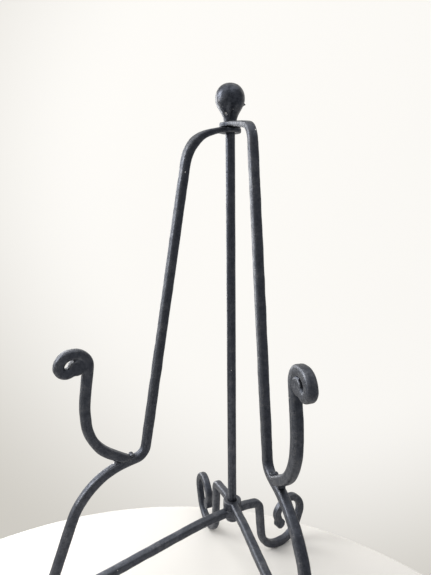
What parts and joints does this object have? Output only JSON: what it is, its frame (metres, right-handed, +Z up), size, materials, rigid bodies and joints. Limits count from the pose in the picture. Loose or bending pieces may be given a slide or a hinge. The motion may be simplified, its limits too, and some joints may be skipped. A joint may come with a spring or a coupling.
{
  "type": "folding plate display stand",
  "caption": "Folding wrought iron easel for a display plate: scroll-footed leaves with upturned hooks, hinged on an upright spindle with a ball finial.",
  "frame": {"origin": "middle of the bounding box, on the surface that the stand is on, with the leaves at their working opening", "axes": "+Z up along the spindle, -Y the front, where the hooks and the plate's face are, +X the viewer's right"},
  "size_m": [0.1996, 0.1879, 0.3299],
  "materials": {
    "hammered_iron": "hammered, blackened and waxed, satin",
    "weld_iron": "rough weld bead under the same black finish",
    "spindle_iron": "drawn round rod, blackened, satin",
    "finial_iron": "cast and dressed ball, blackened, satin with worn lights",
    "worn_steel": "bare pin end, worn bright"
  },
  "bodies": {
    "left_leaf": {"left_leg": "hammered_iron", "left_hook": "hammered_iron", "left_base_bar": "hammered_iron", "left_hook_weld": "weld_iron", "left_brace_weld": "weld_iron"},
    "right_leaf": {"right_leg": "hammered_iron", "right_hook": "hammered_iron", "right_base_bar": "hammered_iron", "right_hook_weld": "weld_iron", "right_brace_weld": "weld_iron"},
    "spindle_rod": {"spindle": "spindle_iron", "finial": "finial_iron", "finial_pin": "worn_steel", "spindle_nut": "spindle_iron"}
  },
  "joints": [
    {"name": "leaf_fold", "type": "hinge", "parent": "left_leaf", "child": "right_leaf", "pos_m": [-0.00072, 0.03832, 0], "axis": [0, 0, 1], "range_deg": [-68, 86]},
    {"name": "spindle_turn", "type": "hinge", "parent": "left_leaf", "child": "spindle_rod", "pos_m": [-0.00072, 0.03832, 0], "axis": [0, 0, 1], "continuous": true}
  ]
}
